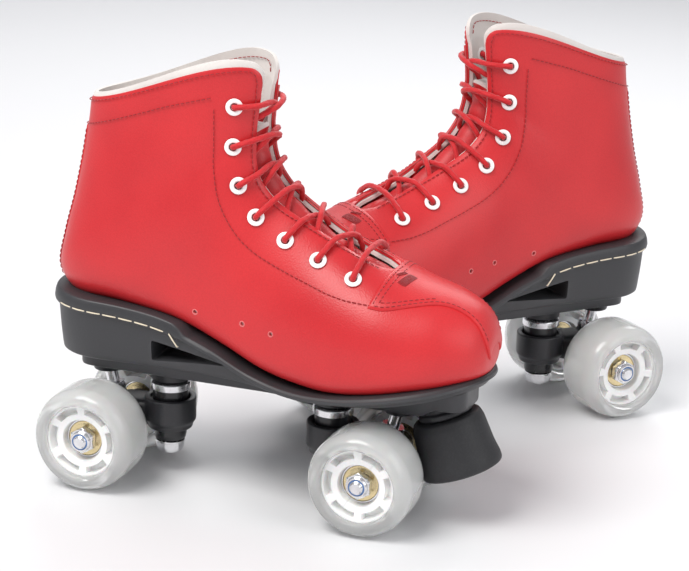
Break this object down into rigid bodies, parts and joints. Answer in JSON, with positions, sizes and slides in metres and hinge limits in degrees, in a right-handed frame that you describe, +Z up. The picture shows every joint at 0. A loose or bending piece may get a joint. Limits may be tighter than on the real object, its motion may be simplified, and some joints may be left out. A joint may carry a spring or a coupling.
{
  "type": "quad roller skates",
  "caption": "Pair of laced high-top quad roller skates: padded boots on moulded soles and flat plates, sprung steering trucks, free wheels on ball bearings and rubber toe stops.",
  "frame": {"origin": "centre of the pair's bounding box, on the floor under the wheels", "axes": "+Z up; +X along the pair's longest extent, roughly the left skate's toe direction; the skates lie in the shallow V in which they stand"},
  "size_m": [0.3614, 0.303, 0.2406],
  "materials": {
    "red_leather": "smooth coated red leather with a low satin sheen",
    "tongue_leather": "soft red leather, matt",
    "red_lace": "round braided polyester",
    "sole_rubber": "dark grey moulded rubber, fine matt texture",
    "black_nylon": "black glass-filled nylon, satin",
    "stop_rubber": "black rubber, matt",
    "black_urethane": "black urethane, satin",
    "bright_steel": "bright zinc-plated steel",
    "bearing_steel": "gold-tinted shields on bright steel races",
    "clear_urethane": "milky clear urethane tyre on a white nylon core"
  },
  "bodies": {
    "left_skate": {"left_vamp": "red_leather", "left_outer_quarter": "red_leather", "left_inner_quarter": "red_leather", "left_tongue": "tongue_leather", "left_laces": "red_lace", "left_outsole": "sole_rubber", "left_plate": "black_nylon", "left_toe_stop": "stop_rubber", "left_rear_kingpin": "bright_steel", "left_rear_cup_washer": "bright_steel", "left_rear_upper_cushion": "black_urethane", "left_rear_lower_cushion": "black_urethane", "left_front_kingpin": "bright_steel", "left_front_cup_washer": "bright_steel", "left_front_upper_cushion": "black_urethane", "left_front_lower_cushion": "black_urethane"},
    "right_skate": {"right_vamp": "red_leather", "right_outer_quarter": "red_leather", "right_inner_quarter": "red_leather", "right_tongue": "tongue_leather", "right_laces": "red_lace", "right_outsole": "sole_rubber", "right_plate": "black_nylon", "right_toe_stop": "stop_rubber", "right_rear_kingpin": "bright_steel", "right_rear_cup_washer": "bright_steel", "right_rear_upper_cushion": "black_urethane", "right_rear_lower_cushion": "black_urethane", "right_front_kingpin": "bright_steel", "right_front_cup_washer": "bright_steel", "right_front_upper_cushion": "black_urethane", "right_front_lower_cushion": "black_urethane"},
    "left_rear_truck": {"left_rear_hanger": "black_nylon", "left_rear_axle": "bright_steel"},
    "left_rear_left_wheel": {"left_rear_left_wheel": "clear_urethane", "left_rear_left_bearings": "bearing_steel"},
    "left_rear_right_wheel": {"left_rear_right_wheel": "clear_urethane", "left_rear_right_bearings": "bearing_steel"},
    "left_front_truck": {"left_front_hanger": "black_nylon", "left_front_axle": "bright_steel"},
    "left_front_left_wheel": {"left_front_left_wheel": "clear_urethane", "left_front_left_bearings": "bearing_steel"},
    "left_front_right_wheel": {"left_front_right_wheel": "clear_urethane", "left_front_right_bearings": "bearing_steel"},
    "right_rear_truck": {"right_rear_hanger": "black_nylon", "right_rear_axle": "bright_steel"},
    "right_rear_left_wheel": {"right_rear_left_wheel": "clear_urethane", "right_rear_left_bearings": "bearing_steel"},
    "right_rear_right_wheel": {"right_rear_right_wheel": "clear_urethane", "right_rear_right_bearings": "bearing_steel"},
    "right_front_truck": {"right_front_hanger": "black_nylon", "right_front_axle": "bright_steel"},
    "right_front_left_wheel": {"right_front_left_wheel": "clear_urethane", "right_front_left_bearings": "bearing_steel"},
    "right_front_right_wheel": {"right_front_right_wheel": "clear_urethane", "right_front_right_bearings": "bearing_steel"}
  },
  "joints": [
    {"name": "right_skate_lift", "type": "slide", "parent": "left_skate", "child": "right_skate", "axis": [0, 0, 1], "range_m": [0, 0.15]},
    {"name": "left_rear_steer", "type": "hinge", "parent": "left_skate", "child": "left_rear_truck", "pos_m": [-0.14452, -0.04044, 0.06], "axis": [-0.797, 0.2822, 0.534], "range_deg": [-4, 4], "stiffness_Nm_per_rad": 18, "deforming": ["left_rear_upper_cushion", "left_rear_lower_cushion"]},
    {"name": "left_rear_left_spin", "type": "hinge", "parent": "left_rear_truck", "child": "left_rear_left_wheel", "pos_m": [-0.12687, -0.01009, 0.029], "axis": [0.3338, 0.9426, 0], "continuous": true},
    {"name": "left_rear_right_spin", "type": "hinge", "parent": "left_rear_truck", "child": "left_rear_right_wheel", "pos_m": [-0.14991, -0.07513, 0.029], "axis": [0.3338, 0.9426, 0], "continuous": true},
    {"name": "left_front_steer", "type": "hinge", "parent": "left_skate", "child": "left_front_truck", "pos_m": [0.01762, -0.09786, 0.06], "axis": [0.797, -0.2822, 0.534], "range_deg": [-4, 4], "stiffness_Nm_per_rad": 18, "deforming": ["left_front_upper_cushion", "left_front_lower_cushion"]},
    {"name": "left_front_left_spin", "type": "hinge", "parent": "left_front_truck", "child": "left_front_left_wheel", "pos_m": [0.02301, -0.06317, 0.029], "axis": [0.3338, 0.9426, 0], "continuous": true},
    {"name": "left_front_right_spin", "type": "hinge", "parent": "left_front_truck", "child": "left_front_right_wheel", "pos_m": [-0.00003, -0.12821, 0.029], "axis": [0.3338, 0.9426, 0], "continuous": true},
    {"name": "right_rear_steer", "type": "hinge", "parent": "right_skate", "child": "right_rear_truck", "pos_m": [0.13996, 0.09869, 0.06], "axis": [0.7493, 0.3917, 0.534], "range_deg": [-4, 4], "stiffness_Nm_per_rad": 18, "deforming": ["right_rear_upper_cushion", "right_rear_lower_cushion"]},
    {"name": "right_rear_left_spin", "type": "hinge", "parent": "right_rear_truck", "child": "right_rear_left_wheel", "pos_m": [0.15019, 0.06511, 0.029], "axis": [0.4633, -0.8862, 0], "continuous": true},
    {"name": "right_rear_right_spin", "type": "hinge", "parent": "right_rear_truck", "child": "right_rear_right_wheel", "pos_m": [0.11822, 0.12626, 0.029], "axis": [0.4633, -0.8862, 0], "continuous": true},
    {"name": "right_front_steer", "type": "hinge", "parent": "right_skate", "child": "right_front_truck", "pos_m": [-0.01246, 0.01901, 0.06], "axis": [-0.7493, -0.3917, 0.534], "range_deg": [-4, 4], "stiffness_Nm_per_rad": 18, "deforming": ["right_front_upper_cushion", "right_front_lower_cushion"]},
    {"name": "right_front_left_spin", "type": "hinge", "parent": "right_front_truck", "child": "right_front_left_wheel", "pos_m": [0.00928, -0.00856, 0.029], "axis": [0.4633, -0.8862, 0], "continuous": true},
    {"name": "right_front_right_spin", "type": "hinge", "parent": "right_front_truck", "child": "right_front_right_wheel", "pos_m": [-0.02269, 0.05259, 0.029], "axis": [0.4633, -0.8862, 0], "continuous": true}
  ]
}
